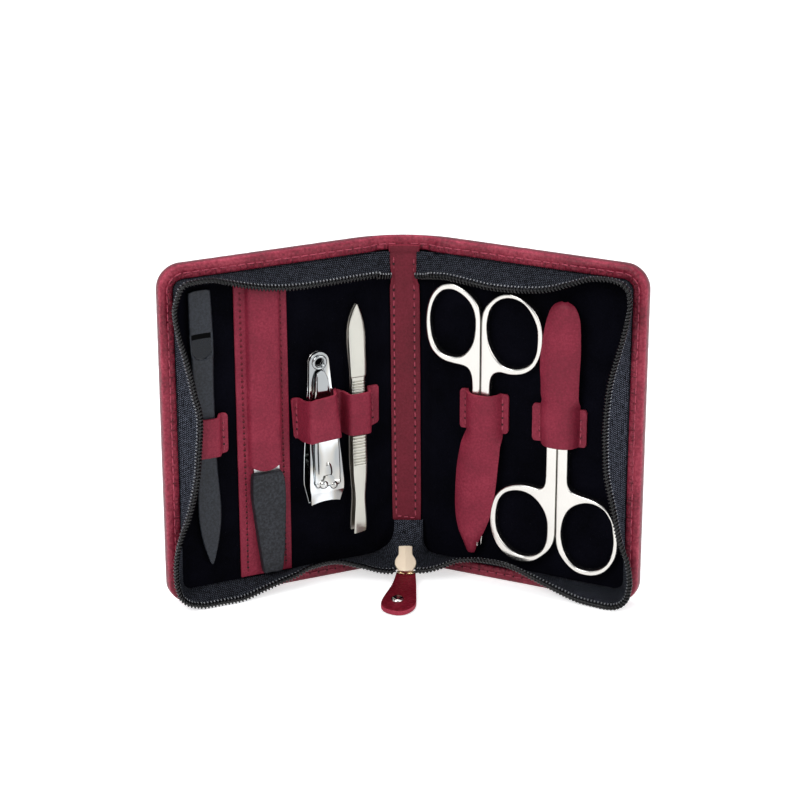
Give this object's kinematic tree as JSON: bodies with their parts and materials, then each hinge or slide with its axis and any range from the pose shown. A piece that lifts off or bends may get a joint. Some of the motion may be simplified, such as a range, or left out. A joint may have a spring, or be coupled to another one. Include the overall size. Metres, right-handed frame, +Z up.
{
  "type": "manicure set case",
  "caption": "Zipped leather case standing open like a book, with nail scissors, cuticle scissors, clipper, tweezers, file and pusher held in leather loops.",
  "frame": {"origin": "middle of the spine's foot, on the surface the case stands on", "axes": "+X to the right across both covers, +Y to the back of the spine, +Z up; the open covers face -Y"},
  "size_m": [0.157, 0.0435, 0.118],
  "materials": {
    "red_leather": "fine grain, satin, rolled edges",
    "strap_leather": "thin split leather, satin",
    "velvet": "short black pile",
    "zip_fabric": "woven tape, matte",
    "coil_nylon": "glossy black nylon coil",
    "board": "stiffener, hidden",
    "slider_alloy": "champagne plated die casting",
    "gold_wire": "gold plated wire and rivet",
    "tool_steel": "satin champagne plating",
    "clipper_chrome": "polished",
    "black_tool": "matte dark grey coating",
    "file_steel": "cross-cut steel",
    "handle_plastic": "matte black grip"
  },
  "bodies": {
    "spine": {"spine_leather": "red_leather", "spine_lining": "velvet", "centre_strip": "strap_leather", "spine_top_rim": "red_leather", "spine_bottom_rim": "red_leather", "zip_top_ends": "zip_fabric", "zip_tail": "zip_fabric", "zip_bottom_ends": "coil_nylon"},
    "left_cover": {"left_cover_leather": "red_leather", "left_cover_board": "board", "left_lining": "velvet", "left_rim": "red_leather", "left_zip_tape": "zip_fabric", "left_zip_coil": "coil_nylon", "pusher_loop": "strap_leather", "pocket_strip": "strap_leather", "pocket_sheath": "strap_leather", "clipper_tweezer_loop": "strap_leather"},
    "right_cover": {"right_cover_leather": "red_leather", "right_cover_board": "board", "right_lining": "velvet", "right_rim": "red_leather", "right_zip_tape": "zip_fabric", "right_zip_coil": "coil_nylon", "nail_scissors_sheath": "strap_leather", "cuticle_scissors_sheath": "strap_leather"},
    "zip_slider": {"slider_body": "slider_alloy"},
    "zip_puller": {"puller_bail": "gold_wire", "puller_leather": "strap_leather", "puller_rivet": "gold_wire"},
    "pusher": {"cuticle_pusher": "black_tool"},
    "nail_file": {"nail_file_blade": "file_steel", "nail_file_handle": "handle_plastic"},
    "clipper": {"clipper_lower_arm": "clipper_chrome", "clipper_pin": "clipper_chrome", "clipper_eyelet": "clipper_chrome"},
    "clipper_jaw": {"clipper_upper_arm": "clipper_chrome"},
    "clipper_thumb_lever": {"clipper_lever": "clipper_chrome"},
    "tweezers": {"tweezers_back_leg": "tool_steel"},
    "tweezers_leg": {"tweezers_front_leg": "tool_steel"},
    "nail_scissors": {"nail_scissors_right_half": "tool_steel", "nail_scissors_screw": "tool_steel"},
    "nail_scissors_swing": {"nail_scissors_left_half": "tool_steel"},
    "cuticle_scissors": {"cuticle_scissors_left_half": "tool_steel", "cuticle_scissors_screw": "tool_steel"},
    "cuticle_scissors_swing": {"cuticle_scissors_right_half": "tool_steel"}
  },
  "joints": [
    {"name": "left_cover_hinge", "type": "hinge", "parent": "spine", "child": "left_cover", "pos_m": [-0.009, -0.00247, 0], "axis": [0, 0, -1], "range_deg": [-65.6, 24.4]},
    {"name": "right_cover_hinge", "type": "hinge", "parent": "spine", "child": "right_cover", "pos_m": [0.009, -0.00247, 0], "axis": [0, 0, 1], "range_deg": [-65.6, 24.4]},
    {"name": "zip_slide", "type": "slide", "parent": "spine", "child": "zip_slider", "axis": [0, 0.7986, 0.6018], "range_m": [0, 0.002]},
    {"name": "puller_hinge", "type": "hinge", "parent": "zip_slider", "child": "zip_puller", "pos_m": [0.0008, -0.0166, 0.00194], "axis": [-0.9954, 0.0958, 0.0035], "range_deg": [0, 45]},
    {"name": "pusher_slide", "type": "slide", "parent": "left_cover", "child": "pusher", "axis": [0.0189, 0.0086, -0.9998], "range_m": [0, 0.007]},
    {"name": "file_slide", "type": "slide", "parent": "left_cover", "child": "nail_file", "axis": [0, 0, -1], "range_m": [0, 0.0014]},
    {"name": "clipper_slide", "type": "slide", "parent": "left_cover", "child": "clipper", "axis": [0.0318, 0.0144, -0.9994], "range_m": [0, 0.008]},
    {"name": "clipper_jaw_flex", "type": "hinge", "parent": "clipper", "child": "clipper_jaw", "pos_m": [-0.02761, -0.01629, 0.07199], "axis": [0.9101, 0.4129, 0.0349], "range_deg": [0, 1.2], "stiffness_Nm_per_rad": 0.3},
    {"name": "clipper_lever_swing", "type": "hinge", "parent": "clipper", "child": "clipper_thumb_lever", "pos_m": [-0.02488, -0.01956, 0.03951], "axis": [0.4131, -0.9107, 0], "range_deg": [-3, 3]},
    {"name": "tweezers_slide", "type": "slide", "parent": "left_cover", "child": "tweezers", "axis": [0, 0, -1], "range_m": [0, 0.008]},
    {"name": "tweezers_squeeze", "type": "hinge", "parent": "tweezers", "child": "tweezers_leg", "pos_m": [-0.01561, -0.00799, 0.0885], "axis": [0.9107, 0.4131, 0], "range_deg": [0, 1.7], "stiffness_Nm_per_rad": 0.15},
    {"name": "nail_scissors_slide", "type": "slide", "parent": "right_cover", "child": "nail_scissors", "axis": [0, 0, 1], "range_m": [0, 0.004]},
    {"name": "nail_scissors_pivot", "type": "hinge", "parent": "nail_scissors", "child": "nail_scissors_swing", "pos_m": [0.02593, -0.01355, 0.047], "axis": [-0.4131, -0.9107, 0], "range_deg": [0, 2]},
    {"name": "cuticle_scissors_slide", "type": "slide", "parent": "right_cover", "child": "cuticle_scissors", "axis": [0, 0, -1], "range_m": [0, 0.0015]},
    {"name": "cuticle_scissors_pivot", "type": "hinge", "parent": "cuticle_scissors", "child": "cuticle_scissors_swing", "pos_m": [0.05079, -0.02483, 0.064], "axis": [-0.4131, -0.9107, 0], "range_deg": [0, 1]}
  ]
}
